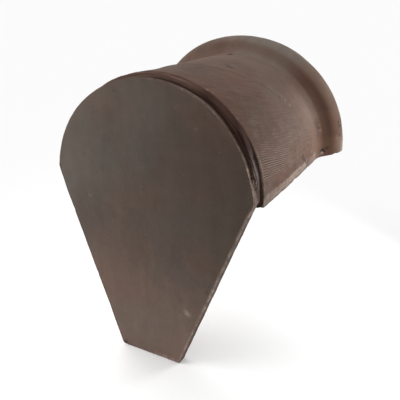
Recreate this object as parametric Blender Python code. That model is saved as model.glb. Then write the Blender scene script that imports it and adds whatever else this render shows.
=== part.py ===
"""Clay ridge end cap: a collared half-round ridge tile, closed by a hanging end plate.

Metres, +Z up. The barrel runs along +Y and beds on its two straight feet, in the plane
z = 0. The end plate's back face lies in the plane y = 0 and its face looks towards -Y.
The cap is symmetric about x = 0.
"""
import math

import bmesh
import bpy

# Open gap left between two pieces that touch.
TOUCH_GAP = 0.0003

# Half-round barrel: outer radius, wall, and the straight foot below the half circle.
BARREL_RADIUS = 0.1215
WALL = 0.014
FOOT_HEIGHT = 0.002
CAP_LENGTH = 0.248

# Collar, from the barrel out to the lip's crest. It slumped a little at its crown, and its
# feet are cut back towards the lip.
COLLAR_RISE = 0.025
CROWN_SLUMP = 0.0025
COLLAR_FOOT_LIFT = 0.0035
FLANK_ANGLE = math.radians(56)
LIP_WIDTH = 0.016
COVE_RADIUS = 0.026
LIP_RADIUS = 0.019
INNER_LIP_RADIUS = 0.005
MOUTH_ROUNDING = 0.0055
INNER_MOUTH_ROUNDING = 0.0018

# End plate: an arc set back from the barrel's outer face, then straight sides down to a foot.
PLATE_SETBACK = 0.0015
PLATE_THICKNESS = 0.0127
PLATE_DROP = 0.2048
PLATE_FOOT_WIDTH = 0.079
SHOULDER_HEIGHT = 0.0108
PLATE_ARRIS = 0.0008

# Joint between the plate's back and the barrel's cut end: the filler is a hollow-set bead.
JOINT_WIDTH = 0.0098
FILLER_RECESS = 0.0022
FILLER_CROWN = 0.0012

# Fineness of the curves.
HALF_ROUND_STEPS = 48
BARREL_STEPS = 4
COVE_STEPS = 7
LIP_STEPS = 6
MOUTH_STEPS = 3
FILLER_STEPS = 4
SHARP_ANGLE = math.radians(35)


def clear_scene():
    """Empties the file this script runs in."""
    for item in list(bpy.data.objects):
        bpy.data.objects.remove(item)


def clay(name, colour, roughness):
    """A fired or set surface: its colour and how matt it is."""
    material = bpy.data.materials.new(name)
    material.use_nodes = True
    shader = material.node_tree.nodes["Principled BSDF"]
    shader.inputs["Base Color"].default_value = (*colour, 1.0)
    shader.inputs["Roughness"].default_value = roughness
    shader.inputs["Metallic"].default_value = 0.0
    return material


def add_object(name, mesh, material):
    """Puts one finished mesh into the scene as a named sub-part."""
    item = bpy.data.objects.new(name, mesh)
    item.data.materials.append(material)
    bpy.context.scene.collection.objects.link(item)
    return item


def fillet(corner, angle_in, angle_out, radius, steps):
    """Points (y, r) of an arc that rounds a corner between two directions."""
    turn = angle_out - angle_in
    reach = radius * math.tan(abs(turn) / 2)
    side = math.copysign(radius, turn)
    start_y = corner[0] - reach * math.cos(angle_in)
    start_r = corner[1] - reach * math.sin(angle_in)
    centre_y = start_y - side * math.sin(angle_in)
    centre_r = start_r + side * math.cos(angle_in)
    points = []
    for step in range(steps + 1):
        angle = angle_in + turn * step / steps
        points.append((centre_y + side * math.sin(angle), centre_r - side * math.cos(angle)))
    return points


def barrel_profile(inset, lip_radius, mouth_radius, mouth_turn):
    """Profile (y, r) from the cut end to the mouth, on the surface `inset` inside the outer one.

    The base line, the flank and the crest line move inwards by the same distance, so the
    wall is even, and each corner is rounded again. At the mouth the profile turns by
    `mouth_turn` into the flat end face.
    """
    shift = inset * math.tan(FLANK_ANGLE / 2)
    base = BARREL_RADIUS - inset
    crest = base + COLLAR_RISE
    lip_y = CAP_LENGTH - LIP_WIDTH + shift
    cove_y = lip_y - COLLAR_RISE / math.tan(FLANK_ANGLE)
    cove = fillet((cove_y, base), 0.0, FLANK_ANGLE, COVE_RADIUS + inset, COVE_STEPS)
    lip = fillet((lip_y, crest), FLANK_ANGLE, 0.0, lip_radius, LIP_STEPS)
    mouth = fillet((CAP_LENGTH, crest), 0.0, mouth_turn, mouth_radius, MOUTH_STEPS)
    straight = cove[0][0] - JOINT_WIDTH
    barrel = [(JOINT_WIDTH + straight * step / BARREL_STEPS, base) for step in range(BARREL_STEPS)]
    return barrel + cove + lip + mouth


def half_round(name, outer, inner):
    """A closed mesh swept over the half round from two profiles with as many points each.

    Each profile is a list of (y, r). Below the half circle both stand on a straight foot.
    Where a profile flares past its first radius, as the collar does, it stands out less
    towards the crown, and its foot is cut back.
    """
    builder = bmesh.new()
    loop = outer + inner[::-1]
    bases = [outer[0][1]] * len(outer) + [inner[0][1]] * len(inner)

    def station(angle, height):
        ring = []
        for (y, radius), base in zip(loop, bases):
            share = max(0.0, radius - base) / COLLAR_RISE
            reach = radius - CROWN_SLUMP * share * math.sin(angle) ** 2
            z = height + reach * math.sin(angle)
            z += COLLAR_FOOT_LIFT * share * max(0.0, 1.0 - z / COLLAR_RISE)
            ring.append(builder.verts.new((reach * math.cos(angle), y, z)))
        return ring

    stations = [station(0.0, 0.0)]
    for step in range(HALF_ROUND_STEPS + 1):
        stations.append(station(math.pi * step / HALF_ROUND_STEPS, FOOT_HEIGHT))
    stations.append(station(math.pi, 0.0))
    count = len(loop)
    for ring, following in zip(stations, stations[1:]):
        for index in range(count):
            after = (index + 1) % count
            builder.faces.new((ring[index], ring[after], following[after], following[index]))
    for ring in (stations[0], stations[-1]):
        for index in range(len(outer) - 1):
            builder.faces.new((ring[index], ring[index + 1], ring[count - 2 - index], ring[count - 1 - index]))
    bmesh.ops.recalc_face_normals(builder, faces=builder.faces)
    mesh = bpy.data.meshes.new(name)
    builder.to_mesh(mesh)
    builder.free()
    mesh.shade_smooth()
    mesh.set_sharp_from_angle(angle=SHARP_ANGLE)
    return mesh


def make_barrel(material):
    """The ridge tile: a half-round barrel with an even wall that flares into its collar."""
    outer = barrel_profile(0.0, LIP_RADIUS, MOUTH_ROUNDING, -math.pi / 2)
    inner = barrel_profile(WALL, INNER_LIP_RADIUS, INNER_MOUTH_ROUNDING, math.pi / 2)
    return add_object("ridge_barrel", half_round("ridge_barrel", outer, inner), material)


def make_filler(material):
    """The joint filler: a band between plate and barrel, its face a shallow bead."""
    start = TOUCH_GAP
    end = JOINT_WIDTH - TOUCH_GAP
    outer = []
    inner = []
    for step in range(FILLER_STEPS + 1):
        share = step / FILLER_STEPS
        y = start + (end - start) * share
        bulge = math.sin(math.pi * share)
        outer.append((y, BARREL_RADIUS - FILLER_RECESS + FILLER_CROWN * bulge))
        inner.append((y, BARREL_RADIUS - WALL))
    return add_object("joint_filler", half_round("joint_filler", outer, inner), material)


def plate_outline():
    """The plate's outline (x, z), anticlockwise seen from the front, from its foot's left end."""
    radius = BARREL_RADIUS - PLATE_SETBACK
    start = math.asin(SHOULDER_HEIGHT / radius)
    sweep = math.pi - 2 * start
    outline = [(-PLATE_FOOT_WIDTH / 2, -PLATE_DROP), (PLATE_FOOT_WIDTH / 2, -PLATE_DROP)]
    for step in range(HALF_ROUND_STEPS + 1):
        angle = start + sweep * step / HALF_ROUND_STEPS
        outline.append((radius * math.cos(angle), radius * math.sin(angle)))
    return outline


def make_plate(material):
    """The end plate: a slab with a narrow worn arris round its face and its back."""
    builder = bmesh.new()
    outline = plate_outline()
    front = [builder.verts.new((x, -PLATE_THICKNESS, z)) for x, z in outline]
    back = [builder.verts.new((x, 0.0, z)) for x, z in outline]
    builder.faces.new(front)
    builder.faces.new(back)
    for index in range(len(front)):
        after = (index + 1) % len(front)
        builder.faces.new((front[index], front[after], back[after], back[index]))
    bmesh.ops.recalc_face_normals(builder, faces=builder.faces)
    mesh = bpy.data.meshes.new("end_plate")
    builder.to_mesh(mesh)
    builder.free()

    plate = add_object("end_plate", mesh, material)
    arris = plate.modifiers.new("arris", "BEVEL")
    arris.width = PLATE_ARRIS
    arris.segments = 1
    arris.limit_method = "ANGLE"
    arris.angle_limit = SHARP_ANGLE
    return plate


def main():
    clear_scene()
    barrel_clay = clay("barrel_clay", (0.138, 0.108, 0.088), 0.82)
    plate_clay = clay("plate_clay", (0.112, 0.090, 0.075), 0.80)
    filler_paste = clay("filler_paste", (0.045, 0.028, 0.020), 0.45)
    make_barrel(barrel_clay)
    make_plate(plate_clay)
    make_filler(filler_paste)


main()
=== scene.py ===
"""Looks for the ridge end cap: its clay, its combed and worn surfaces and its joint filler.

Metres, +Z up, in the CAD's frame: the barrel runs along +Y, beds in the plane z = 0, and
the end plate's back lies in the plane y = 0 with its face towards -Y.
"""
import math

import bpy
import numpy as np
from mathutils import Matrix, Vector


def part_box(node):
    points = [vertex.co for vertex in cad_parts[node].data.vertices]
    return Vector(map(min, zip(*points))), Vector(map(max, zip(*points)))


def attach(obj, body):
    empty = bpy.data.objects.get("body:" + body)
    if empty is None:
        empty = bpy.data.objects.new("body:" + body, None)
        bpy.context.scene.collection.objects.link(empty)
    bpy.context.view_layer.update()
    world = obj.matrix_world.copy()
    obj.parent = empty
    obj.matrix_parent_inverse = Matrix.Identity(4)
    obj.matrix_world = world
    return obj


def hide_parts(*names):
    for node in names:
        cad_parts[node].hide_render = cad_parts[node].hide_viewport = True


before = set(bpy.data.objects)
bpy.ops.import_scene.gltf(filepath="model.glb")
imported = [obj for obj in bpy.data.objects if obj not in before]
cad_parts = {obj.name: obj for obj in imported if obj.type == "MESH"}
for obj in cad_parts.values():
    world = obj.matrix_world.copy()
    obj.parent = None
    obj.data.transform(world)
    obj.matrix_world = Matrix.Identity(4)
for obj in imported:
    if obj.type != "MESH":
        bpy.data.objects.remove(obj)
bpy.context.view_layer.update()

# Sizes of the real thing that show in the boxes of the CAD's pieces, to a micrometre.
BARREL_LOW, BARREL_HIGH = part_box("ridge_barrel")
PLATE_LOW, PLATE_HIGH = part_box("end_plate")
JOINT_WIDTH = round(BARREL_LOW.y, 6)
CAP_LENGTH = round(BARREL_HIGH.y, 6)
PLATE_RADIUS = round(PLATE_HIGH.z, 6)
PLATE_THICKNESS = round(-PLATE_LOW.y, 6)
PLATE_DROP = round(-PLATE_LOW.z, 6)

# Its other sizes, as in the CAD.
BARREL_RADIUS = 0.1215
COLLAR_RISE = 0.025
WALL = 0.014
FOOT_HEIGHT = 0.002
CROWN_SLUMP = 0.0025
COLLAR_FOOT_LIFT = 0.0035
FLANK_ANGLE = math.radians(56)
LIP_WIDTH = 0.016
COVE_RADIUS = 0.026
LIP_RADIUS = 0.019
INNER_LIP_RADIUS = 0.005
MOUTH_ROUNDING = 0.0055
INNER_MOUTH_ROUNDING = 0.0018
PLATE_FOOT_WIDTH = 0.079
SHOULDER_HEIGHT = 0.0108
FILLER_RECESS = 0.0022
FILLER_CROWN = 0.0012
TOUCH_GAP = 0.0003
FLOOR_GAP = 0.0006

# How far apart a mesh's points lie: where the comb's lines are, elsewhere round the barrel,
# along its body, along its collar, inside it, across its mouth and across its cut end.
COMBED_SPACING = 0.00046
HOOP_SPACING = 0.00125
BODY_SPACING = 0.0022
COLLAR_SPACING = 0.0015
INSIDE_SPACING = 0.0056
MOUTH_SPACING = 0.002
CUT_SPACING = 0.0025
COMBED_END = math.radians(64)

# The rows of points up each foot, by height.
BARREL_FOOT_ROWS = (0, 0.0003, 0.0007, 0.0012, 0.0016)
FILLER_FOOT_ROWS = (0, 0.0005, 0.0012)
FILLER_ROWS = 330

# The plate's points: along its outline and round its curve, and the ring that closes its middle.
PLATE_SPACING = 0.0017
PLATE_CURVE_POINTS = 220
PLATE_MIDDLE = (0, -0.02)
MIDDLE_RING = 0.0024

# The comb's lines: how far apart they start, how much they lean towards the feet, and their depth.
COMB_SPACING = 0.0027
COMB_LEAN = 0.5
COMB_DEPTH = 0.0003

# The comb's draw left a low ridge where it stopped, and pressed the clay down before it.
SWEEP_RIDGE = 0.0006
SWEEP_DEPTH = 0.0003

# The barrel necks in a little before its cove.
NECK_Y = 0.2045
NECK_DEPTH = 0.0011

# The collar sits a little to one side, is drawn in at its right foot and swells past its crown.
COLLAR_SHIFT = 0.0012
COLLAR_DRAW = 0.0016
COLLAR_SWELL = 0.0012

# Arrises: of the barrel's feet outside and inside and at the lip, of its cut end, and of the plate.
FOOT_ARRIS = 0.0009
INSIDE_ARRIS = 0.0009
LIP_FOOT_ARRIS = 0.0045
CUT_ARRIS = 0.0009
INSIDE_CUT_ARRIS = 0.0005
PLATE_FRONT_ARRIS = 0.0005
PLATE_BACK_ARRIS = 0.0006

# A nick in the collar's right foot: where it is, its half width, how deep and how high it goes.
NICK_Y = 0.2295
NICK_SIZE = 0.0016
NICK_DEPTH = 0.0026
NICK_HEIGHT = 0.009

# The filler: how far its foot stops above the bedding plane, how much it is filled up where it is
# flat and where it is flush with the barrel, and how far its bead shrank from the barrel.
FILLER_FOOT_LIFT = 0.0034
FLAT_FILL = 0.0014
FLUSH_FILL = 0.0019
BEAD_SHRINKAGE = 0.0006

# Round spots on the barrel: (angle in degrees, y, half width, amount). Angles go up from the right
# foot over the crown, and an amount is a depth, a height or a strength.
COMB_PATCHES = (
    (34, 0.038, 0.01, 0.75), (29.5, 0.07, 0.006, 0.45), (26, 0.1, 0.0105, 0.95),
    (22, 0.126, 0.007, 0.55), (19.5, 0.03, 0.009, 0.9), (15.5, 0.056, 0.011, 1),
    (13.5, 0.09, 0.012, 0.8), (22.5, 0.064, 0.006, 0.6), (52, 0.045, 0.011, 0.3),
    (13, 0.017, 0.005, 0.5))
BARREL_CHIPS = (
    (8, 0.14, 0.0028, 0.0011), (4.6, 0.148, 0.0026, 0.0011), (1.5, 0.163, 0.003, 0.001),
    (2.6, 0.2135, 0.002, 0.0012), (1.2, 0.108, 0.004, 0.0005), (0.8, 0.062, 0.003, 0.0005))
BARREL_DARK_SPOTS = (
    (94, 0.204, 0.0018, 1.6), (94, 0.2008, 0.0019, 1.6), (76.3, 0.118, 0.0026, 0.55),
    (78.6, 0.1235, 0.0015, 0.55), (74, 0.116, 0.0015, 0.6), (20.3, 0.2105, 0.0032, 0.25),
    (14.9, 0.208, 0.003, 0.18), (2.4, 0.213, 0.0009, 1.2), (2.4, 0.2176, 0.0009, 1.2),
    (3.6, 0.2144, 0.001, 1.3), (3.6, 0.2163, 0.001, 1.3), (4.3, 0.2205, 0.0011, 0.8),
    (17.8, 0.2115, 0.0016, 0.45), (43.2, 0.143, 0.001, 0.5), (44.4, 0.137, 0.0012, 0.4),
    (8.2, 0.1395, 0.0024, 0.55), (5.6, 0.1455, 0.0022, 0.65), (2.6, 0.16, 0.0024, 0.6),
    (17.2, 0.2345, 0.0011, 0.8), (15.6, 0.235, 0.0011, 0.8), (15.2, 0.2375, 0.0011, 0.7),
    (17.6, 0.24, 0.0012, 0.6), (10.7, 0.2345, 0.0013, 0.5), (5.6, 0.1475, 0.0013, 0.8),
    (3.6, 0.152, 0.0011, 0.8))
BARREL_LIGHTS = (
    (63.5, 0.0125, 0.0011, 0.8), (38.1, 0.1497, 0.0013, 0.6), (61, 0.015, 0.0009, 0.5),
    (44, 0.0125, 0.001, 0.4), (41.5, 0.144, 0.0014, 0.22), (1.8, 0.2152, 0.0011, 2.4),
    (4.4, 0.156, 0.0016, 0.5), (2.2, 0.15, 0.0016, 0.5), (6.8, 0.178, 0.0016, 0.35),
    (4.8, 0.187, 0.0018, 0.35), (43.6, 0.14, 0.001, 0.35), (42, 0.1465, 0.0009, 0.45),
    (44.8, 0.145, 0.0009, 0.3), (19, 0.2128, 0.0013, 0.35), (16, 0.2135, 0.0013, 0.35),
    (16.4, 0.2362, 0.0009, 0.4), (9, 0.23, 0.0016, 0.25))
# Soft patches on the barrel: (angle, its spread, y, its spread, amount).
BARREL_TONES = (
    (50, 10, 0.2, 0.012, -0.09), (14, 3, 0.2, 0.02, 0.1), (64, 7, 0.08, 0.03, 0.1),
    (53, 8, 0.175, 0.03, -0.18), (31, 8, 0.195, 0.012, 0.2), (89, 8, 0.07, 0.02, -0.16),
    (20, 3, 0.208, 0.006, -0.2), (57, 4, 0.207, 0.006, 0.1), (76, 7, 0.2185, 0.0025, -0.12),
    (73, 6, 0.202, 0.007, 0.07), (17, 5, 0.2357, 0.003, -0.15))
BARREL_PALES = (
    (29, 6, 0.204, 0.008, 0.22), (57, 4, 0.208, 0.006, 0.1), (80, 6, 0.206, 0.008, 0.05))
# Round spots on the plate: (x, z, half width, amount).
PLATE_RIM_CHIPS = (
    (-0.1195, 0.01, 0.001, 0.0005), (-0.0392, -0.2042, 0.0016, 0.0008),
    (0.0891, -0.0733, 0.0014, 0.0008), (0.0405, -0.1995, 0.0024, 0.0007),
    (0.052, -0.172, 0.0018, 0.0006), (0.062, -0.148, 0.0014, 0.0006),
    (0.0985, -0.048, 0.0015, 0.0005), (-0.072, -0.115, 0.002, 0.0005),
    (-0.101, -0.038, 0.0018, 0.0005), (0.006, -0.2048, 0.0024, 0.0005))
PLATE_BUMPS = (
    (-0.0023, 0.0812, 0.0013, 0.0005), (0.0544, 0.0756, 0.0015, -0.0006),
    (-0.078, -0.0173, 0.0022, -0.0004), (0.0409, -0.1184, 0.0018, -0.0004),
    (-0.004, -0.15, 0.003, 0.0003), (0.035, 0.006, 0.0018, 0.0003))
PLATE_DARK_SPOTS = (
    (-0.1195, 0.0108, 0.0016, 0.8), (-0.0358, -0.2015, 0.0017, 0.8), (0.0891, -0.0733, 0.0011, 0.4),
    (0.0409, -0.1184, 0.0016, 0.35), (0.072, -0.099, 0.0015, 0.4))
PLATE_LIGHTS = (
    (-0.0023, 0.0812, 0.0008, 0.28), (0.0544, 0.0756, 0.0008, 0.2), (-0.078, -0.0173, 0.001, 0.18))
PLATE_REDS = (
    (-0.05, -0.09, 0.032, 0.6), (0.082, -0.06, 0.022, 0.5), (0.075, 0.085, 0.032, 0.6),
    (-0.095, 0.06, 0.03, -0.5))
# Soft patches on the plate: (x, its spread, z, its spread, amount).
PLATE_TONES = (
    (-0.09, 0.028, -0.04, 0.035, -0.15), (0.08, 0.03, 0.07, 0.05, -0.07))
PLATE_PALES = ((-0.1, 0.022, 0.02, 0.025, 0.05),)
# Crumbs in the smear on the plate's rim: (angle, its spread, y, its spread, amount).
RIM_CRUMBS = (
    (15, 1.3, -0.0083, 0.0009, 1), (20.5, 1.5, -0.0075, 0.0009, 0.35))

# A scuff low on the plate's face: its place, half length, half width, strength and way.
SCUFF_X = 0.0493
SCUFF_Z = -0.1333
SCUFF_LENGTH = 0.0028
SCUFF_WIDTH = 0.0015
SCUFF_STRENGTH = 0.7
SCUFF_WAY = math.radians(-22)

# What changes with the angle, as pairs of an angle in degrees and a value there.
# The y where the comb's draw stopped.
COMB_STOP = (
    (0, 0.204), (20, 0.186), (38, 0.1545), (48, 0.136), (61, 0.1175), (72, 0.1025), (81, 0.091),
    (89, 0.0865), (101, 0.083), (120, 0.08), (150, 0.078), (180, 0.076))
# The y up to which filler was smeared forward over the plate's rim.
PASTE_FRONT = (
    (0, 0.0005), (3.4, -0.0016), (10, -0.0068), (13, -0.0096), (15, -0.0122), (20, -0.0129),
    (25, -0.0107), (35, -0.0116), (41, -0.011), (46, -0.0092), (55, -0.0074), (60, -0.0074),
    (66, -0.0087), (85, -0.0096), (100, -0.0092), (115, -0.0056), (180, -0.002))
# The light line of bare clay between the face and that smear: its y, its half width and its strength.
RIM_LINE = (
    (12, -0.0127), (25, -0.0129), (45, -0.0126), (55, -0.0112), (62, -0.0108), (75, -0.0112),
    (88, -0.0114))
RIM_LINE_SPREAD = (
    (25, 0.0005), (45, 0.0006), (55, 0.0012), (62, 0.0013), (75, 0.0011), (88, 0.0009))
RIM_LINE_STRENGTH = (
    (8, 0.1), (14, 0.9), (21, 1.2), (26, 0.6), (31, 0.26), (45, 0.18), (60, 0.5), (66, 0.78),
    (75, 0.26), (88, 0.32), (96, 0.04), (180, 0.03))
# How dusty the smear is, and how much more so at the rim's back.
SMEAR_DUST = (
    (8, 0.55), (11, 0.4), (15, 0.05), (25, 0), (62, 0), (70, 0.08), (75, 0), (84, 0.05), (90, 0.2),
    (100, 0.5))
SMEAR_BACK_DUST = (
    (34, 0), (42, 0.34), (50, 0.3), (58, 0.1), (65, 0.4), (75, 0.55), (90, 0.75), (105, 0.5))
# How dusty the filler in the joint is, and how much more so where it meets the plate.
JOINT_DUST = (
    (8, 0.2), (15, 0.08), (45, 0.08), (55, 0.15), (60, 0.24), (65, 0.5), (75, 0.7), (80, 0.78),
    (84, 1), (95, 0.95), (110, 0.9), (140, 0.3))
JOINT_EDGE_DUST = (
    (36, 0), (42, 0.34), (50, 0.35), (60, 0.18), (68, 0.4), (78, 0.66), (90, 0.95), (120, 0.9))
# The highlight painted on the filler's bead: the y of its middle, its strength and its half width.
HIGHLIGHT_MIDDLE = (
    (8, 0), (12, 0.0012), (15, 0.0032), (20, 0.0019), (25, 0.0015), (30, 0.004), (35, 0.0063),
    (41, 0.0075))
HIGHLIGHT_STRENGTH = (
    (8, 0.2), (12, 0.5), (15, 0.72), (20, 1), (25, 0.52), (30, 0.2), (35, 0.12), (41, 0))
HIGHLIGHT_SPREAD = 0.0018
# The y beyond which the bead lies in the shade of the barrel's arris.
ARRIS_SHADE = (
    (8, 0.002), (12, 0.0045), (15, 0.0055), (24, 0.0045), (29, 0.007), (33, 0.0095))


# Helpers for numbers spread over a surface.


def bell(value, centre, spread):
    """A smooth hump of height 1."""
    return np.exp(-0.5 * ((value - centre) / spread) ** 2)


def ramp(value, low, high):
    """0 at low, 1 at high, smooth between them and level outside."""
    share = np.clip((value - low) / (high - low), 0, 1)
    return share * share * (3 - 2 * share)


def between(value, start, full, fading, end):
    """0 up to start, 1 from full to fading, 0 again from end, and smooth in between."""
    return ramp(value, start, full) * ramp(value, end, fading)


def follow(value, pairs):
    """What pairs of a place and a number give at a value, on straight lines between the pairs."""
    places, numbers = zip(*pairs)
    return np.interp(value, places, numbers)


def lumps(points, size, seed, layers=3):
    """Smooth random relief, mostly between -1 and 1, with lumps about size metres across."""
    rng = np.random.default_rng(seed)
    total = np.zeros(points.shape[:-1])
    weight = 1
    for layer in range(layers):
        for wave in range(9):
            way = rng.normal(size=3)
            way *= 2 ** layer * math.pi * rng.uniform(0.7, 1.3) / (size * np.linalg.norm(way))
            total += weight * np.sin(points @ way + rng.uniform(0, 2 * math.pi))
        weight *= 0.5
    return total / 3.5


def barrel_spots(spots, degrees, y):
    """The sum of round spots on the barrel's outside, each as strong as its amount."""
    total = np.zeros_like(y)
    for angle, along, size, amount in spots:
        around = np.radians(degrees - angle) * BARREL_RADIUS
        total += amount * bell(around, 0, size) * bell(y, along, size)
    return total


def plate_spots(spots, x, z):
    """The sum of round spots on the plate, each as strong as its amount."""
    total = np.zeros_like(x)
    for right, up, size, amount in spots:
        total += amount * bell(x, right, size) * bell(z, up, size)
    return total


def patch_sum(patches, first, second):
    """The sum of soft patches, each placed and spread by two measures and as strong as its amount."""
    total = 0
    for middle, spread, other_middle, other_spread, amount in patches:
        total += amount * bell(first, middle, spread) * bell(second, other_middle, other_spread)
    return total


# Helpers for meshes.


def fillet(corner, angle_in, angle_out, radius, steps):
    """Points (y, r) of an arc that rounds a corner between two directions."""
    turn = angle_out - angle_in
    reach = radius * math.tan(abs(turn) / 2)
    side = math.copysign(radius, turn)
    start_y = corner[0] - reach * math.cos(angle_in)
    start_r = corner[1] - reach * math.sin(angle_in)
    centre_y = start_y - side * math.sin(angle_in)
    centre_r = start_r + side * math.cos(angle_in)
    points = []
    for step in range(steps + 1):
        angle = angle_in + turn * step / steps
        points.append((centre_y + side * math.sin(angle), centre_r - side * math.cos(angle)))
    return points


def evenly(points, spacing):
    """The same line with its points at most `spacing` apart and evenly spread."""
    points = np.array(points)
    steps = np.hypot(*np.diff(points, axis=0).T)
    along = np.concatenate([[0], np.cumsum(steps)])
    count = max(2, math.ceil(along[-1] / spacing) + 1)
    wanted = np.linspace(0, along[-1], count)
    return np.stack([np.interp(wanted, along, points[:, axis]) for axis in (0, 1)], axis=1)


def tube_faces(rows, columns, flip=False):
    """Faces of a closed strip of points, row by row, then its two end caps. flip turns all over."""
    row, column = np.meshgrid(np.arange(rows - 1), np.arange(columns), indexing="ij")
    after = (column + 1) % columns
    near = row * columns
    far = near + columns
    quads = np.stack([near + column, near + after, far + after, far + column], axis=-1)
    first = list(range(columns))
    last = list(range((rows - 1) * columns, rows * columns))
    faces = quads.reshape(-1, 4).tolist() + [first[::-1], last]
    return [face[::-1] for face in faces] if flip else faces


def half_round(turns, feet):
    """Each row's angle and lift in a half round: up the right foot, over the crown, down the left."""
    theta = np.concatenate([np.zeros(len(feet)), turns, np.full(len(feet), math.pi)])
    lift = np.concatenate([feet, np.full(len(turns), FOOT_HEIGHT), feet[::-1]])
    return theta[:, None], lift[:, None]


def build(name, points, faces, node, material, marks, grain, sharp):
    """A piece of the cap from arrays. It stands for a CAD node and rides with it.

    marks are named numbers, one per point, and grain is a pair per point, which says where
    the point lies in the clay's grain.
    """
    mesh = bpy.data.meshes.new(name)
    mesh.from_pydata([tuple(p) for p in points.reshape(-1, 3).tolist()], [], faces)
    for key, values in marks.items():
        layer = mesh.attributes.new(key, "FLOAT", "POINT")
        layer.data.foreach_set("value", np.asarray(values, dtype=np.float32).ravel())
    corner_points = np.zeros(len(mesh.loops), dtype=np.int64)
    mesh.loops.foreach_get("vertex_index", corner_points)
    layer = mesh.uv_layers.new(name="grain")
    pairs = np.asarray(grain, dtype=np.float32).reshape(-1, 2)
    layer.uv.foreach_set("vector", pairs[corner_points].ravel())
    mesh.validate()
    mesh.shade_smooth()
    mesh.set_sharp_from_angle(angle=sharp)
    mesh.materials.append(material)
    piece = bpy.data.objects.new(name, mesh)
    bpy.context.scene.collection.objects.link(piece)
    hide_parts(node)
    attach(piece, "root")
    return piece


def flatten_feet(piece):
    """Shades a half round's two feet flat. They are its last two faces."""
    for foot in list(piece.data.polygons)[-2:]:
        foot.use_smooth = False


# Helpers for materials.


class Look:
    """A material's node tree, with short ways to add the nodes that the clays share."""

    def __init__(self, name, roughness, specular):
        self.material = bpy.data.materials.new(name)
        self.material.use_nodes = True
        self.tree = self.material.node_tree
        self.shader = self.tree.nodes["Principled BSDF"]
        self.shader.inputs["Roughness"].default_value = roughness
        self.shader.inputs["Specular IOR Level"].default_value = specular
        self.place = self.node("ShaderNodeTexCoord").outputs["Object"]

    def node(self, kind, inputs=None, **settings):
        """Adds a node, with its settings and then its inputs."""
        made = self.tree.nodes.new(kind)
        for key, value in settings.items():
            setattr(made, key, value)
        for key, value in (inputs or {}).items():
            self.feed(made.inputs[key], value)
        return made

    def feed(self, socket, value):
        """Sets a socket to a number or colour, or links it to another node's output."""
        if isinstance(value, bpy.types.NodeSocket):
            self.tree.links.new(value, socket)
        elif isinstance(value, tuple) and len(value) == 3 and socket.type == "RGBA":
            socket.default_value = (*value, 1)
        else:
            socket.default_value = value

    def math(self, kind, first, second=0, clamp=False):
        inputs = {0: first, 1: second}
        return self.node("ShaderNodeMath", inputs, operation=kind, use_clamp=clamp).outputs[0]

    def mark(self, name):
        return self.node("ShaderNodeAttribute", attribute_name=name).outputs["Fac"]

    def noise(self, scale, detail=3, roughness=0.55, place=None, distortion=0):
        inputs = {"Vector": place or self.place, "Scale": scale, "Detail": detail,
                  "Roughness": roughness, "Distortion": distortion}
        return self.node("ShaderNodeTexNoise", inputs).outputs["Fac"]

    def span(self, value, low, high, bottom=0, top=1):
        """value moved from the range low..high to bottom..top, and held there outside it."""
        inputs = {"Value": value, "From Min": low, "From Max": high, "To Min": bottom, "To Max": top}
        return self.node("ShaderNodeMapRange", inputs, clamp=True).outputs["Result"]

    def mix(self, share, first, second):
        inputs = {"Factor": share, 6: first, 7: second}
        return self.node("ShaderNodeMix", inputs, data_type="RGBA", clamp_factor=True).outputs[2]

    def scale(self, colour, factor):
        """The colour times a number."""
        inputs = {0: colour, "Scale": factor}
        return self.node("ShaderNodeVectorMath", inputs, operation="SCALE").outputs["Vector"]

    def mottle(self, colour, value, swing, low=0.3, high=0.7):
        """The colour made darker or lighter by up to `swing` of itself as value goes low to high."""
        return self.scale(colour, self.span(value, low, high, 1 - swing, 1 + swing))

    def frayed(self, name, scale=600, swing=0.6):
        """A mark from the mesh with its strength made uneven, held between 0 and 1."""
        uneven = self.span(self.noise(scale), 0.3, 0.7, 1 - swing, 1 + swing)
        return self.math("MULTIPLY", self.mark(name), uneven, clamp=True)

    def streaks(self, across, along, detail=2):
        """Noise drawn out along the clay's grain, with `across` and `along` marks per metre."""
        grain = self.node("ShaderNodeUVMap", uv_map="grain").outputs["UV"]
        place = self.node("ShaderNodeMapping", {"Vector": grain, "Scale": (across, along, 1)})
        return self.noise(1, detail, 0.5, place.outputs["Vector"])

    def bump(self, height, distance, strength=1, under=None):
        inputs = {"Height": height, "Distance": distance, "Strength": strength}
        if under is not None:
            inputs["Normal"] = under
        return self.node("ShaderNodeBump", inputs).outputs["Normal"]

    def finish(self, colour, roughness, normal):
        """Feeds the shader and gives the material."""
        self.feed(self.shader.inputs["Base Color"], colour)
        self.feed(self.shader.inputs["Roughness"], roughness)
        self.feed(self.shader.inputs["Normal"], normal)
        return self.material


# Materials.

RUBBED_AND_LIT_CLAY = (0.27, 0.206, 0.17)
PALE_CLAY = (0.19, 0.17, 0.146)
GRIT = (0.24, 0.19, 0.16)
PINHOLE_AND_SHADE = (0.025, 0.017, 0.013)
DARK_SPOTS_AND_SHADE = (0.018, 0.012, 0.009)

BARREL_GREY = (0.11, 0.0755, 0.059)
BARREL_BROWN = (0.1075, 0.0655, 0.0495)
BARREL_RED = (0.1276, 0.064, 0.042)

PLATE_GREY = (0.0615, 0.0558, 0.0471)
PLATE_BROWN = (0.06, 0.0482, 0.04)
PLATE_RED = (0.0735, 0.0502, 0.0405)

PASTE_DARK = (0.012, 0.004, 0.0022)
PASTE_LIGHT = (0.02, 0.008, 0.005)

FILLER_DARK = (0.029, 0.0138, 0.0096)
FILLER_LIGHT = (0.046, 0.024, 0.0172)
FILLER_DUST = (0.142, 0.086, 0.07)
FILLER_SHEEN = (0.175, 0.145, 0.142)
FILLER_SHADE = (0.014, 0.0066, 0.0044)

# How red the clay gets by itself, away from its red marks.
BLUSH = 0.25


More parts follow.
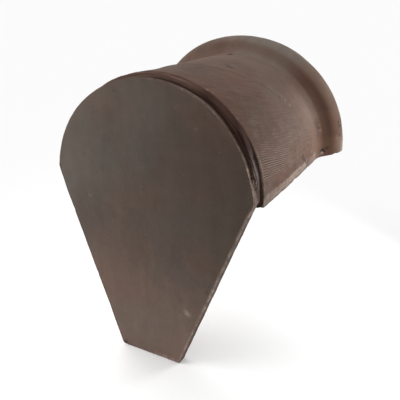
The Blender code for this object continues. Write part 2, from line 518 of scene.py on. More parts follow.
def clay(look, grey, brown, red, mottling):
    """The colour of fired clay, with grey, brown and red as its tones.

    The marks on the mesh place the rest: `red` is redder clay, `pale` is paler and greyer, the mark for
    how light it is holds painted light and shade over the clay's uneven tone, `worn` is rubbed clay and
    painted light, and `dark` is dark spots and painted shade.
    """
    patches = look.noise(16, detail=4, roughness=0.5, distortion=0.4)
    colour = look.mix(look.span(patches, 0.36, 0.66), grey, brown)
    blushes = look.span(look.noise(24), 0.45, 0.75, top=BLUSH)
    colour = look.mix(look.math("ADD", blushes, look.mark("red"), clamp=True), colour, red)
    colour = look.scale(colour, look.mark("tone_and_painted_light"))
    colour = look.mix(look.mark("pale"), colour, PALE_CLAY)
    colour = look.mottle(colour, look.noise(70, detail=5, roughness=0.6), mottling)
    colour = look.mottle(colour, look.noise(900, detail=2, roughness=0.7), 1.2 * mottling)
    colour = look.mix(look.span(look.noise(430, detail=1), 0.75, 0.82, top=0.3), colour, GRIT)
    pinholes = look.span(look.noise(330, detail=1, roughness=0.3), 0.25, 0.19, top=0.45)
    colour = look.mix(pinholes, colour, PINHOLE_AND_SHADE)
    # Rubbed clay and painted light, then dark spots and painted shade.
    colour = look.mix(look.frayed("worn"), colour, RUBBED_AND_LIT_CLAY)
    return look.mix(look.frayed("dark"), colour, DARK_SPOTS_AND_SHADE)


def clay_relief(look, normal=None):
    """The fine relief of fired clay, over the relief that `normal` already has."""
    normal = look.bump(look.noise(70, detail=5, roughness=0.6), 0.0012, 0.3, normal)
    return look.bump(look.noise(900, detail=2, roughness=0.7), 0.00035, 0.4, normal)


def barrel_material():
    """The barrel's clay, drawn over with a comb where `comb` says, with shade painted in its grooves."""
    look = Look("barrel_clay_looks", 0.84, 0.12)
    colour = clay(look, BARREL_GREY, BARREL_BROWN, BARREL_RED, 0.08)
    fine = look.streaks(430, 26)
    wide = look.streaks(120, 9)
    comb = look.mark("comb")
    colour = look.mix(comb, colour, look.mottle(colour, fine, 0.1, 0.35, 0.65))
    # Shade painted into the comb's grooves.
    colour = look.mix(look.math("MULTIPLY", look.mark("groove"), 0.72), colour, PINHOLE_AND_SHADE)
    normal = look.bump(wide, 0.0011, look.math("MULTIPLY", comb, 0.35))
    normal = look.bump(fine, 0.001, look.math("MULTIPLY", comb, 0.4), normal)
    roughness = look.span(look.noise(60, detail=4), 0.3, 0.7, 0.78, 0.92)
    return look.finish(colour, roughness, clay_relief(look, normal))


def plate_material():
    """The plate's clay, with the dark smear of filler round its rim where `paste` says."""
    look = Look("plate_clay_looks", 0.84, 0.02)
    colour = clay(look, PLATE_GREY, PLATE_BROWN, PLATE_RED, 0.055)
    colour = look.mottle(colour, look.streaks(60, 9, detail=3), 0.04, 0.35, 0.65)
    smear = look.mix(look.noise(180), PASTE_DARK, PASTE_LIGHT)
    smear = look.mix(look.mark("dusty"), smear, FILLER_DUST)
    colour = look.mix(look.frayed("paste", 500, 0.25), colour, smear)
    roughness = look.span(look.noise(60, detail=4), 0.3, 0.7, 0.78, 0.9)
    return look.finish(colour, roughness, clay_relief(look))


def filler_material():
    """Set adhesive: dark red-brown, dusted with clay where `clayey` says, with painted highlight and shade.
    """
    look = Look("filler_paste_looks", 0.72, 0.01)
    lumpy = look.noise(55, detail=4, roughness=0.6)
    colour = look.mix(look.span(lumpy, 0.3, 0.7), FILLER_DARK, FILLER_LIGHT)
    flecks = look.span(look.noise(200), 0.45, 0.8, top=0.1)
    colour = look.mix(look.math("ADD", look.mark("clayey"), flecks, clamp=True), colour, FILLER_DUST)
    colour = look.mix(look.frayed("sheen", 300, 0.25), colour, FILLER_SHEEN)
    colour = look.mix(look.mark("shade"), colour, FILLER_SHADE)
    roughness = look.span(look.noise(90), 0.3, 0.7, 0.62, 0.85)
    normal = look.bump(lumpy, 0.0015, 0.4)
    return look.finish(colour, roughness, look.bump(look.noise(480), 0.0005, 0.4, normal))


# The barrel with its collar.


def barrel_side(inset, lip_radius, mouth_radius, mouth_turn, arris, body_spacing, collar_spacing):
    """The barrel's profile (y, r) from its cut end to its mouth, `inset` inside the outer face."""
    base = BARREL_RADIUS - inset
    lip_y = CAP_LENGTH - LIP_WIDTH + inset * math.tan(FLANK_ANGLE / 2)
    cove_y = lip_y - COLLAR_RISE / math.tan(FLANK_ANGLE)
    start = fillet((JOINT_WIDTH, base), -mouth_turn, 0, arris, 4)
    cove = fillet((cove_y, base), 0, FLANK_ANGLE, COVE_RADIUS + inset, 16)
    lip = fillet((lip_y, base + COLLAR_RISE), FLANK_ANGLE, 0, lip_radius, 12)
    mouth = fillet((CAP_LENGTH, base + COLLAR_RISE), 0, mouth_turn, mouth_radius, 6)
    body = evenly([start[-1], cove[0]], body_spacing)
    collar = evenly(cove + lip + mouth, collar_spacing)
    return np.concatenate([start[:-1], body[:-1], collar])


def barrel_loop():
    """The barrel's closed profile: points (y, r), the base radius of each, and its share of outside."""
    quarter = math.pi / 2
    outer = barrel_side(0, LIP_RADIUS, MOUTH_ROUNDING, -quarter, CUT_ARRIS, BODY_SPACING, COLLAR_SPACING)
    inner = barrel_side(WALL, INNER_LIP_RADIUS, INNER_MOUTH_ROUNDING, quarter, INSIDE_CUT_ARRIS,
                        INSIDE_SPACING, INSIDE_SPACING)
    mouth = evenly([outer[-1], inner[-1]], MOUTH_SPACING)[1:-1]
    cut = evenly([inner[0], outer[0]], CUT_SPACING)[1:-1]
    loop = np.concatenate([outer, mouth, inner[::-1], cut])
    across_mouth = np.linspace(1, 0, len(mouth) + 2)[1:-1]
    across_cut = np.linspace(0, 1, len(cut) + 2)[1:-1]
    outside = np.concatenate([np.ones(len(outer)), across_mouth, np.zeros(len(inner)), across_cut])
    return loop, BARREL_RADIUS - WALL * (1 - outside), outside


def barrel_turns():
    """Angles round the barrel, closer together where the comb's fine lines are."""
    combed = round(COMBED_END * BARREL_RADIUS / COMBED_SPACING)
    plain = round((math.pi - COMBED_END) * BARREL_RADIUS / HOOP_SPACING) + 1
    first = np.linspace(0, COMBED_END, combed, endpoint=False)
    return np.concatenate([first, np.linspace(COMBED_END, math.pi, plain)])


def comb_grooves(theta, y, points):
    """How strongly the comb drew at each point, and how deep its lines are there, from 0 to 1."""
    degrees = np.degrees(theta)
    path = BARREL_RADIUS * theta * np.exp(COMB_LEAN * y / BARREL_RADIUS)
    path += 0.0006 * lumps(points, 0.05, 51, 2)
    faint = 0.07 * between(degrees, 8, 16, 50, 63) * ramp(y, 0.15, 0.085)
    broken = np.clip(0.8 + 0.75 * lumps(points * np.array([1, 0.4, 1]), 0.0045, 52, 2), 0, 1.3)
    patches = barrel_spots(COMB_PATCHES, degrees, y) * ramp(degrees, 63, 57)
    drawn = np.clip(faint + 1.2 * broken * patches, 0, 1)
    return drawn, drawn * (0.5 + 0.5 * np.sin(2 * math.pi * path / COMB_SPACING))


def barrel_relief(degrees, y, points):
    """How far the barrel's outside stands out from its profile, in metres."""
    height = 0.00045 * lumps(points, 0.07, 3, 2)
    flat = 1 - ramp(y, 0.195, 0.235)
    height -= NECK_DEPTH * (1 - 0.75 * between(degrees, 45, 85, 95, 135)) * bell(y, NECK_Y, 0.014)
    stop = follow(degrees, COMB_STOP)
    fade = between(degrees, 26, 42, 110, 150)
    height += SWEEP_RIDGE * fade * bell(y, stop, 0.0018)
    height -= SWEEP_DEPTH * fade * ramp(y, stop + 0.002, stop - 0.012) * flat
    height += 0.00012 * flat * lumps(points * np.array([1, 0.22, 1]), 0.008, 5, 2)
    height += 0.0001 * lumps(points, 0.012, 6, 3)
    return height


def collar_foot_rise(share, above):
    """How much higher a point near the feet lies as the collar stands out."""
    return COLLAR_FOOT_LIFT * share * np.clip(1 - above / COLLAR_RISE, 0, None)


def foot_wear(theta, lift, y, z, share, outside):
    """How high a point lies on its foot, and how far the wear of the foot's arrises moves it.

    They are worn more outside than inside, and most at the lip.
    """
    above = np.where(lift < FOOT_HEIGHT, lift, np.clip(z - collar_foot_rise(share, z), 0, None))
    nothing = np.zeros_like(y)
    uneven = lumps(np.stack([nothing + np.sign(np.cos(theta)), y, nothing], axis=-1), 0.012, 12, 3)
    worn = FOOT_ARRIS + 0.0002 * uneven + (LIP_FOOT_ARRIS - FOOT_ARRIS) * ramp(share, 0.7, 1)
    arris = np.where(outside > 0.5, worn, INSIDE_ARRIS)
    below = np.clip(arris - above, 0, None)
    inset = arris - np.sqrt(np.clip(arris ** 2 - below ** 2, 0, None))
    return above, inset * np.where(outside > 0.5, 1, -1)


def barrel_tone_and_light(degrees, y):
    """Painted light and shade, with some uneven clay tone: lighter towards the collar,
    with the collar's cove darker by its feet.
    """
    tone_and_painted_light = 0.93 + 0.36 * np.clip(y / 0.2, 0, 1) * ramp(degrees, 8, 25)
    tone_and_painted_light += patch_sum(BARREL_TONES, degrees, y)
    tone_and_painted_light += 0.25 * bell(degrees, 16, 6) * ramp(y, 0.14, 0.09) - 0.05 * ramp(degrees, 10, 5)
    tone_and_painted_light += 0.06 * bell(degrees, 72, 14) - 0.06 * bell(degrees, 40, 10) * ramp(y, 0.11, 0.05)
    tone_and_painted_light -= 0.25 * bell(y, 0.01, 0.0016) * between(degrees, 34, 40, 60, 68)
    tone_and_painted_light += 0.2 * ramp(degrees, 13, 7) * ramp(y, 0.178, 0.192)
    tone_and_painted_light -= 0.2 * ramp(degrees, 18, 12) * bell(y, 0.2165, 0.0035)
    # Painted shade in the collar's cove, then painted light and shade on its lip.
    cove = between(y, 0.2135, 0.2175, 0.2235, 0.228)
    tone_and_painted_light *= 1 - 0.42 * cove * ramp(degrees, 66, 44) * (1 - 0.5 * ramp(degrees, 18, 8))
    tone_and_painted_light *= 1 - 0.22 * bell(degrees, 29, 9) * bell(y, 0.2255, 0.0028)
    tone_and_painted_light *= 1 + 0.14 * ramp(y, 0.2245, 0.229) * (bell(degrees, 64, 10) + bell(degrees, 98, 5))
    tone_and_painted_light *= 1 - 0.22 * between(y, 0.207, 0.213, 0.233, 0.2385) * ramp(degrees, 96, 104)
    tone_and_painted_light *= 1 - 0.28 * ramp(y, 0.228, 0.238) * between(degrees, 8, 15, 26, 36)
    tone_and_painted_light *= 1 - 0.25 * ramp(y, 0.237, 0.243) * ramp(degrees, 76, 62)
    return tone_and_painted_light * (1 + 0.12 * ramp(y, 0.226, 0.232) * ramp(degrees, 14, 7))


def barrel_worn_and_lit(degrees, y, z, share, points, drawn, groove):
    """Where the barrel's clay is rubbed light, and where light is painted on the comb's ridges."""
    fray = lumps(points, 0.006, 21, 3)
    # A band of rubbed clay runs along the right foot, and a thin line of it along the joint.
    band = between(z, 0, 0.0035, 0.009, 0.0125 + 0.0012 * fray)
    band *= ramp(degrees, 90, 60) * ramp(y, 0.206, 0.19) * (0.8 - 0.5 * ramp(y, 0.143, 0.158))
    worn = band * (0.9 + 0.15 * fray + 0.25 * lumps(points, 0.03, 22, 2))
    worn += 0.25 * bell(y, 0.0112, 0.0012) * ramp(degrees, 34, 24) * (0.8 + 0.4 * fray)
    worn += 0.65 * bell(y, 0.013, 0.0016) * bell(degrees, 21, 3.2)
    worn += 0.18 * ramp(share, 0.9, 1) * np.clip(0.3 + fray, 0, 1) * ramp(y, 0.236, 0.244)
    # Light painted on the ridges between the comb's lines, and a light edge where the comb stopped.
    worn += 0.7 * (drawn - groove) * ramp(drawn, 0.2, 0.6)
    stopped = between(degrees, 38, 46, 74, 90) * (0.6 + 0.6 * fray)
    worn += 0.2 * stopped * bell(y, follow(degrees, COMB_STOP) + 0.0008, 0.0011)
    return worn + barrel_spots(BARREL_LIGHTS, degrees, y)


def barrel_red(degrees, y, drawn):
    """Where the barrel's clay is redder: in the collar's cove by the right foot, and by the joint."""
    early = ramp(y, 0.2085, 0.2155)
    late = ramp(y, 0.2145, 0.219)
    cove = late + (early - late) * ramp(degrees, 26, 18)
    red = cove * ramp(degrees, 66, 42) * (0.25 + 0.55 * ramp(y, 0.232, 0.2245))
    red += 0.5 * bell(degrees, 16.5, 4) * bell(y, 0.235, 0.004) + 0.35 * drawn
    red += 0.5 * between(degrees, 0, 4, 8, 24) * (1 - early) * ramp(y, 0.02, 0.05)
    red += 0.4 * ramp(degrees, 30, 40) * ramp(y, 0.045, 0.012)
    return red + 0.12 * ramp(degrees, 78, 62) * ramp(y, 0.125, 0.085)


def barrel_pale(degrees, y):
    """Where the barrel's clay is paler and greyer, mostly along the collar's crown and lip."""
    lip = ramp(y, 0.224, 0.229)
    pale = between(degrees, 52, 66, 90, 97) * (0.1 * ramp(y, 0.13, 0.19) + 0.26 * bell(y, 0.2115, 0.0045))
    pale += lip * (0.6 * between(degrees, 46, 62, 84, 93) + 0.14 * between(degrees, 8, 38, 46, 62))
    pale += 0.06 * lip * ramp(degrees, 14, 6)
    pale += 0.3 * ramp(y, 0.226, 0.231) * between(degrees, 86, 92, 100, 112)
    pale += 0.45 * ramp(y, 0.2335, 0.239) * ramp(degrees, 9, 3)
    pale += 0.1 * ramp(y, 0.045, 0.025) * ramp(degrees, 18, 13)
    return pale + patch_sum(BARREL_PALES, degrees, y)


def barrel_marks(degrees, y, z, share, outside, points, drawn, groove):
    """Where the barrel is combed, worn, dark, red or pale, and its painted light and shade."""
    stop = follow(degrees, COMB_STOP)
    comb = ramp(y, 0.206, 0.19) * ramp(y, stop + 0.004, stop - 0.012) * (0.25 + 0.75 * ramp(degrees, 78, 58))
    marks = {
        "comb": comb,
        "groove": groove,
        "worn": barrel_worn_and_lit(degrees, y, z, share, points, drawn, groove),
        "dark": barrel_spots(BARREL_DARK_SPOTS, degrees, y),
        "red": barrel_red(degrees, y, drawn),
        "pale": barrel_pale(degrees, y)}
    marks = {key: np.clip(outside * values, 0, 1) for key, values in marks.items()}
    marks["tone_and_painted_light"] = barrel_tone_and_light(degrees, y)
    return marks


def cut_setback(degrees):
    """How much wider the joint is at the right than at the crown, at each angle in degrees."""
    return 0.0011 * ramp(degrees, 50, 32) + 0.0018 * bell(degrees, 22.3, 3.3)


def make_barrel():
    """The barrel with its collar, one closed half round."""
    loop, base, outside = barrel_loop()
    theta, lift = half_round(barrel_turns(), BARREL_FOOT_ROWS)
    degrees = np.degrees(theta)
    y = np.tile(loop[:, 0], (len(theta), 1))
    radius = np.tile(loop[:, 1], (len(theta), 1))
    share = np.clip((radius - base) / COLLAR_RISE, 0, None)
    radius -= CROWN_SLUMP * share * np.sin(theta) ** 2
    near = np.stack([radius * np.cos(theta), y, radius * np.sin(theta)], axis=-1)
    drawn, groove = comb_grooves(theta, y, near)
    radius += outside * (barrel_relief(degrees, y, near) - COMB_DEPTH * groove)
    radius -= (1 - outside) * (0.0006 * lumps(near, 0.045, 8, 3) + 0.0002 * lumps(near, 0.014, 9, 1))
    collar = np.clip(share, 0, 1)
    radius -= COLLAR_DRAW * collar * ramp(degrees, 24, 0)
    radius += COLLAR_SWELL * collar * bell(degrees, 125, 12)
    x = radius * np.cos(theta) - COLLAR_SHIFT * collar
    z = lift + radius * np.sin(theta)
    z += collar_foot_rise(share, z)
    above, inset = foot_wear(theta, lift, y, z, share, outside)
    x -= np.sign(np.cos(theta)) * inset

    # Losses: a nick in the collar's right foot, and chips along the barrel's.
    right = (np.cos(theta) > 0) * outside
    z += NICK_DEPTH * right * ramp(above, NICK_HEIGHT, 0) * bell(y, NICK_Y, NICK_SIZE)
    x -= right * barrel_spots(BARREL_CHIPS, degrees, y)
    y += cut_setback(degrees) * ramp(y, 0.02, 0.01)

    points = np.stack([x, y, z], axis=-1)
    marks = barrel_marks(degrees, y, z, share, outside, points, drawn, groove)
    lean = 0.1 + 0.45 * ramp(degrees, 10, 70)
    grain = np.stack([BARREL_RADIUS * theta + lean * y, y], axis=-1)
    flatten_feet(build("ridge_barrel_skin", points, tube_faces(*y.shape), "ridge_barrel",
                       barrel_material(), marks, grain, math.radians(50)))


# The end plate.


def plate_outline():
    """The plate's outline (x, z), anticlockwise seen from the front, and each point's outward way."""
    start = math.asin(SHOULDER_HEIGHT / PLATE_RADIUS)
    turns = np.linspace(start, math.pi - start, PLATE_CURVE_POINTS)
    arc = list(zip(PLATE_RADIUS * np.cos(turns), PLATE_RADIUS * np.sin(turns)))
    left, right = (-PLATE_FOOT_WIDTH / 2, -PLATE_DROP), (PLATE_FOOT_WIDTH / 2, -PLATE_DROP)
    sides = ([left, right], [right, arc[0]], arc, [arc[-1], left])
    line = np.concatenate([evenly(side, PLATE_SPACING)[:-1] for side in sides])
    along = np.roll(line, -1, axis=0) - np.roll(line, 1, axis=0)
    along /= np.linalg.norm(along, axis=1)[:, None]
    return line, np.stack([along[:, 1], -along[:, 0]], axis=1)


def plate_section():
    """Steps from the middle of the face, over the rim, to the middle of the back.

    Each is (share of the way out from the middle, inset from the outline, y).
    """
    steps = []
    for share in np.concatenate([np.linspace(0.02, 0.86, 34), np.linspace(0.885, 0.985, 7), [0.989]]):
        steps.append((share, 0, -PLATE_THICKNESS))
    arris = PLATE_FRONT_ARRIS
    for angle in np.linspace(0, math.pi / 2, 6):
        depth = arris * (1 - math.cos(angle)) - PLATE_THICKNESS
        steps.append((1, arris * (1 - math.sin(angle)), depth))
    for y in np.linspace(-PLATE_THICKNESS + arris, -PLATE_BACK_ARRIS, 9)[1:]:
        steps.append((1, 0, y))
    arris = PLATE_BACK_ARRIS
    for angle in np.linspace(0, math.pi / 2, 5)[1:]:
        steps.append((1, arris * (1 - math.cos(angle)), -arris * (1 - math.sin(angle))))
    for share in np.linspace(0.985, 0.02, 24):
        steps.append((share, 0, 0))
    return np.array(steps)


def scuff(x, z):
    """The scuff low on the face, from 0 to 1."""
    right = x - SCUFF_X
    up = z - SCUFF_Z
    along = math.cos(SCUFF_WAY) * right + math.sin(SCUFF_WAY) * up
    across = math.cos(SCUFF_WAY) * up - math.sin(SCUFF_WAY) * right
    return bell(along, 0, SCUFF_LENGTH) * bell(across, 0, SCUFF_WIDTH)


def plate_tone_and_light(x, z):
    """Painted light with some uneven clay tone: lighter at the plate's foot and towards its upper left."""
    tone_and_painted_light = 0.89 - 0.97 * x * ramp(z, -0.12, 0.02) + (0.52 + 3 * x) * ramp(z, -0.06, -0.2)
    tone_and_painted_light += (0.19 - 2.27 * x) * ramp(z, 0.03, 0.12) + 0.06 * bell(z, -0.105, 0.025)
    return tone_and_painted_light + patch_sum(PLATE_TONES, x, z)


def rim_highlight(turn, y):
    """Where the filler's highlight is painted on the rim's back edge low on the right, from 0 to 1."""
    return bell(turn, 17.5, 4.5) * between(y, -0.005, -0.0026, -0.0014, 0.0002)


def plate_marks(x, y, z, share, rim, face, crumbs, turn, near):
    """Marks on the plate: worn, dark, red, pale, its painted light and shade, and its smear's dust."""
    fray = 0.8 + 0.4 * lumps(near, 0.005, 36, 3)
    front = y < -0.8 * PLATE_THICKNESS
    upper = rim * (z > -0.004)
    low_right = ramp(z, 0.006, -0.002) * ramp(x, 0, 0.02)
    outermost = share > 0.988
    line = bell(y, follow(turn, RIM_LINE), follow(turn, RIM_LINE_SPREAD))
    worn = upper * line * follow(turn, RIM_LINE_STRENGTH)
    worn += front * outermost * (1.05 * bell(turn, 18.2, 3.8) + 0.18 * bell(turn, 34, 6))
    arris = (share > 0.98) * bell(y, 0.0004 - PLATE_THICKNESS, 0.0008)
    # Rubbed clay and painted light along the lower right arris and rim.
    worn += low_right * (0.44 * arris + 0.26 * rim * ramp(z, -0.16, -0.1))
    worn *= fray
    # Light clay in the bare wedge low on the right, and a highlight painted as light clay on the rim's back
    # edge.
    worn += upper * (0.5 * ramp(turn, 24, 13) + 0.3 * rim_highlight(turn, y))
    worn += 0.5 * upper * patch_sum(RIM_CRUMBS, turn, y)
    worn += 0.3 * np.clip(lumps(near, 0.0026, 38, 2), 0, 1) * crumbs
    worn += front * (SCUFF_STRENGTH * face * scuff(x, z) + plate_spots(PLATE_LIGHTS, x, z))
    dark = front * plate_spots(PLATE_DARK_SPOTS, x, z)
    # Painted shade on the back of the rim low on the right, and a line of painted shade along the left
    # side's front arris.
    dark += 0.3 * rim * low_right * ramp(z, -0.11, -0.14) * bell(y, -0.0065, 0.0025)
    left = outermost * ramp(z, 0.012, 0.006) * ramp(x, -0.02, -0.035) * (1 - 0.6 * ramp(z, -0.03, -0.09))
    dark += 0.85 * fray * left * bell(y, -PLATE_THICKNESS, 0.0012)
    red = 0.3 - 0.12 * ramp(x, 0.02, -0.06) * ramp(z, -0.1, -0.05) + 0.55 * ramp(z, -0.08, -0.12)
    red += 0.2 * lumps(near, 0.05, 37, 2) + plate_spots(PLATE_REDS, x, z)
    red += 0.7 * upper * ramp(turn, 20, 40)
    dusty = follow(turn, SMEAR_DUST) + follow(turn, SMEAR_BACK_DUST) * ramp(y, -0.0065, -0.001)
    marks = {"worn": worn, "dark": dark, "red": red, "pale": patch_sum(PLATE_PALES, x, z), "dusty": dusty}
    marks = {key: np.clip(values, 0, 1) for key, values in marks.items()}
    marks["tone_and_painted_light"] = plate_tone_and_light(x, z) * (1 + 0.14 * ramp(share, 0.93, 0.97) * bell(turn, 46, 8))
    return marks


def make_plate():
    """The end plate, one closed slab, with the filler smeared over its rim."""
    line, outward = plate_outline()
    steps = plate_section()
    share, inset, depth = steps[:, 0, None], steps[:, 1, None], steps[:, 2, None]
    way = line[None, :, :] - inset[..., None] * outward[None, :, :] - PLATE_MIDDLE
    # The innermost ring is a circle, so that the face that closes it has no points in line.
    innermost = MIDDLE_RING * way / np.linalg.norm(way, axis=-1, keepdims=True)
    flat = PLATE_MIDDLE + np.where(share[..., None] < 0.03, innermost, share[..., None] * way)
    x, z = flat[..., 0].copy(), flat[..., 1].copy()
    y = np.tile(depth, (1, len(line)))
    near = np.stack([x, y, z], axis=-1)

    # Worn, uneven arrises: the face and the rim both give way towards the front edge.
    rim = np.tile(share >= 1, (1, len(line)))
    front = np.clip(1 - (y + PLATE_THICKNESS) / 0.0045, 0, 1) * rim
    back = np.clip(1 + y / 0.003, 0, 1) * rim
    fray = lumps(near * np.array([1, 0.3, 1]), 0.01, 31, 3)
    cut = front * 0.00013 * fray + back * 0.0002 * fray
    cut += np.clip(front + 0.3 * rim, 0, 1) * plate_spots(PLATE_RIM_CHIPS, x, z)
    # The slab is a little fuller at its left shoulder.
    cut -= 0.0007 * ramp(x, -0.06, -0.115) * share
    x -= cut * outward[None, :, 0]
    z -= cut * outward[None, :, 1]

    # The face is not quite flat, and has small bumps, pits and a scuff.
    face = (1 - rim) + front
    relief = 0.00045 * lumps(near, 0.085, 33, 2) + 0.00012 * lumps(near, 0.016, 34, 3)
    relief += 0.0004 * scuff(x, z) + plate_spots(PLATE_BUMPS, x, z)
    y += face * np.where(y < -PLATE_THICKNESS / 2, -relief, 0.4 * relief - 0.0002)

    # Filler smeared over the rim, with crumbs at its low end and a bare wedge below them.
    turn = (np.degrees(np.arctan2(z, x)) + 90) % 360 - 90
    upper = rim * (z > -0.004)
    start = follow(turn, PASTE_FRONT)
    soft = 0.0008 + 0.003 * ramp(turn, 90, 105)
    paste = upper * ramp(y, start - soft, start + soft) * between(turn, 1, 6, 160, 178)
    # Less smear where the highlight is painted on the rim's back edge.
    paste *= 1 - 0.8 * rim_highlight(turn, y)
    paste *= 1 - 0.75 * np.clip(patch_sum(RIM_CRUMBS, turn, y), 0, 1)
    crumbs = upper * between(turn, 9, 14, 22, 30) * between(y, -0.0124, -0.0095, -0.004, -0.001)
    proud = 0.00035 * paste + crumbs * 0.0012 * np.clip(lumps(near, 0.0032, 35, 2), -0.5, 1)
    proud += paste * inset * (y > -PLATE_THICKNESS / 2)
    x += proud * outward[None, :, 0]
    z += proud * outward[None, :, 1]

    points = np.stack([x, y, z], axis=-1)
    marks = plate_marks(x, y, z, share, rim, face, crumbs, turn, near)
    marks["paste"] = paste
    build("end_plate_skin", points, tube_faces(*x.shape, flip=True), "end_plate", plate_material(),
          marks, np.stack([x, z], axis=-1), math.radians(60))


# The joint filler.


def filler_marks(degrees, y, end, outer, near):
    """Where the filler is dusted with clay, and where a highlight and the arris's shade are painted on it.
    """
    clayey = follow(degrees, JOINT_DUST) * (0.85 + 0.3 * lumps(near, 0.02, 44, 2)) * outer
    clayey += follow(degrees, JOINT_EDGE_DUST) * ramp(y, 0.001, 0.0004) * outer
    clayey -= 0.6 * bell(degrees, 76.5, 3.5) * ramp(y, end - 0.005, end - 0.0025)
    # A highlight painted slantwise over the bead, from the plate below to the barrel above.
    sheen = follow(degrees, HIGHLIGHT_STRENGTH) * bell(y, follow(degrees, HIGHLIGHT_MIDDLE), HIGHLIGHT_SPREAD) * outer
    sheen += 0.8 * between(degrees, 2, 4, 10, 13) * ramp(y, 0.0032, 0.002) * outer
    shaded = follow(degrees, ARRIS_SHADE)
    shade = 0.9 * ramp(y, shaded - 0.0015, shaded + 0.0015) * ramp(degrees, 34, 30) * outer
    shade += 0.3 * bell(degrees, 37, 4) * ramp(y, 0.0045, 0.003) * outer
    shade = np.maximum(shade, 0.8 * ramp(degrees, 3, 1))
    marks = {"clayey": clayey, "sheen": sheen, "shade": shade}
    return {key: np.clip(values, 0, 1) for key, values in marks.items()}


def make_filler():
    """The filler in the joint, one closed half round."""
    theta, lift = half_round(np.linspace(0, math.pi, FILLER_ROWS), FILLER_FOOT_ROWS)
    degrees = np.degrees(theta)
    start, end = TOUCH_GAP, JOINT_WIDTH - TOUCH_GAP
    # From the front face's foot over the bead to the barrel, and back along the inside.
    sunk = np.array([0.005, 0.002])
    across = np.concatenate([0 * sunk, np.linspace(0, 1, 15)])
    inside = np.linspace(end, start, 6)
    plain = np.zeros(len(inside))
    y = np.tile(np.concatenate([start + (end - start) * across, inside]), (len(theta), 1))
    outer = np.concatenate([np.ones(len(across)), plain])
    bulge = np.concatenate([np.sin(0.6 * math.pi * across), plain])
    radius = np.tile(BARREL_RADIUS - np.where(outer > 0.5, FILLER_RECESS, WALL), (len(theta), 1))
    near = np.stack([radius * np.cos(theta), y, radius * np.sin(theta)], axis=-1)
    # It is a bead low on the right, fullest near the barrel, a flat fill above it, and flush over
    # the crown, where it starts with a step.
    bead = ramp(degrees, 40, 26)
    flush = between(degrees, 79, 82, 116, 128)
    crown = FILLER_CROWN * (0.15 + 0.75 * bead) * (1 + 0.35 * lumps(near, 0.03, 41, 2))
    radius += outer * (crown * bulge + FLAT_FILL * (1 - bead) * (1 - flush))
    radius += outer * flush * (FLUSH_FILL + 0.0002 * np.append(across, plain))
    # The bead shrank away from the barrel's arris, and thins out at its right foot.
    radius -= outer * BEAD_SHRINKAGE * ramp(degrees, 33, 27) * bell(y, end, 0.0009)
    radius -= outer * BEAD_SHRINKAGE * ramp(degrees, 12, 0) * ramp(y, 0.004, 0)
    radius += outer * (0.00022 * lumps(near, 0.012, 42, 3) + 0.0001 * lumps(near, 0.004, 43, 2))
    radius[:, :len(sunk)] -= sunk
    x = radius * np.cos(theta)
    z = lift + radius * np.sin(theta)
    z += FILLER_FOOT_LIFT * ramp(z, 0.016, 0)
    y += cut_setback(degrees) * ramp(y, 0.004, end)

    points = np.stack([x, y, z], axis=-1)
    marks = filler_marks(degrees, y, end, outer, near)
    grain = np.stack(np.broadcast_arrays(BARREL_RADIUS * theta, y), axis=-1)
    flatten_feet(build("joint_filler_skin", points, tube_faces(*y.shape), "joint_filler",
                       filler_material(), marks, grain, math.radians(60)))


# Floor, light and camera.


def make_floor():
    """A wide pale floor just under the plate's foot."""
    size = 300
    low = -PLATE_DROP - FLOOR_GAP
    corners = [(-size, -size, low), (size, -size, low), (size, size, low), (-size, size, low)]
    mesh = bpy.data.meshes.new("floor")
    mesh.from_pydata(corners, [], [(0, 1, 2, 3)])
    floor = bpy.data.objects.new("floor", mesh)
    bpy.context.scene.collection.objects.link(floor)
    material = bpy.data.materials.new("floor_paper")
    material.use_nodes = True
    shader = material.node_tree.nodes["Principled BSDF"]
    shader.inputs["Base Color"].default_value = (0.92, 0.92, 0.92, 1)
    shader.inputs["Roughness"].default_value = 0.9
    shader.inputs["Specular IOR Level"].default_value = 0
    mesh.materials.append(material)


def hang(lamp, place, way):
    """Hangs a lamp at a place, with its back turned to `way`."""
    item = bpy.data.objects.new(lamp.name, lamp)
    bpy.context.scene.collection.objects.link(item)
    item.location = place
    item.rotation_mode = "QUATERNION"
    item.rotation_quaternion = way.to_track_quat("Z", "Y")
    return item


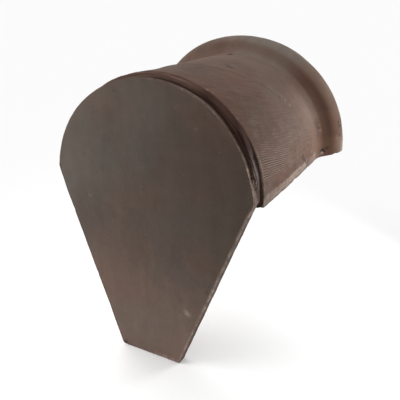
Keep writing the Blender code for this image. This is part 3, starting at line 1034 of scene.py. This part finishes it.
def make_sun(name, azimuth, elevation, strength, spread):
    """A distant soft light. Azimuth 0 is in front of the end plate and 90 is to the right."""
    lamp = bpy.data.lights.new(name, "SUN")
    lamp.energy = strength * math.pi
    lamp.angle = math.radians(spread)
    turn, rise = math.radians(azimuth), math.radians(elevation)
    way = Vector((math.sin(turn) * math.cos(rise), -math.cos(turn) * math.cos(rise), math.sin(rise)))
    hang(lamp, 2 * way, way)


def make_softbox(name, place, power, size):
    """A square soft light close to the cap, aimed at it and unseen by the camera."""
    lamp = bpy.data.lights.new(name, "AREA")
    lamp.shape = "SQUARE"
    lamp.size = size
    lamp.energy = power
    way = (Vector(place) - Vector((0, 0.05, 0))).normalized()
    hang(lamp, place, way).visible_camera = False


def make_camera():
    """The photograph's view: worked out from the cap's outline, in the same frame."""
    azimuth, elevation, roll = math.radians(26.857), math.radians(21.597), math.radians(1.351)
    target = Vector((0.00648, 0.096, -0.04344))
    distance = 0.6559
    level = math.cos(elevation)
    back = Vector((math.sin(azimuth) * level, -math.cos(azimuth) * level, math.sin(elevation)))
    level_right = Vector((math.cos(azimuth), math.sin(azimuth), 0))
    level_up = back.cross(level_right)
    right = level_right * math.cos(roll) + level_up * math.sin(roll)
    up = level_up * math.cos(roll) - level_right * math.sin(roll)
    lens = bpy.data.cameras.new("camera")
    lens.sensor_width = 36
    lens.lens = 47.09
    lens.clip_start = 0.01
    lens.clip_end = 1000
    camera = bpy.data.objects.new("camera", lens)
    bpy.context.scene.collection.objects.link(camera)
    turn = Matrix((right, up, back)).transposed().to_4x4()
    camera.matrix_world = Matrix.Translation(target + back * distance) @ turn
    bpy.context.scene.camera = camera


def make_world(strength):
    """An even white surround."""
    world = bpy.data.worlds.new("studio")
    world.use_nodes = True
    background = world.node_tree.nodes["Background"]
    background.inputs["Color"].default_value = (1, 1, 1, 1)
    background.inputs["Strength"].default_value = strength
    bpy.context.scene.world = world


make_barrel()
make_plate()
make_filler()
make_floor()
make_sun("back_left", -120, 30, 0.4, 50)
make_sun("front_left", -60, 25, 0.24, 50)
make_softbox("left", (-0.3, -0.2, -0.12), 1.55, 0.2)
make_softbox("right", (0.3, 0.35, 0.05), 0.95, 0.2)
make_world(0.75)
make_camera()
bpy.context.scene.view_settings.view_transform = "Standard"
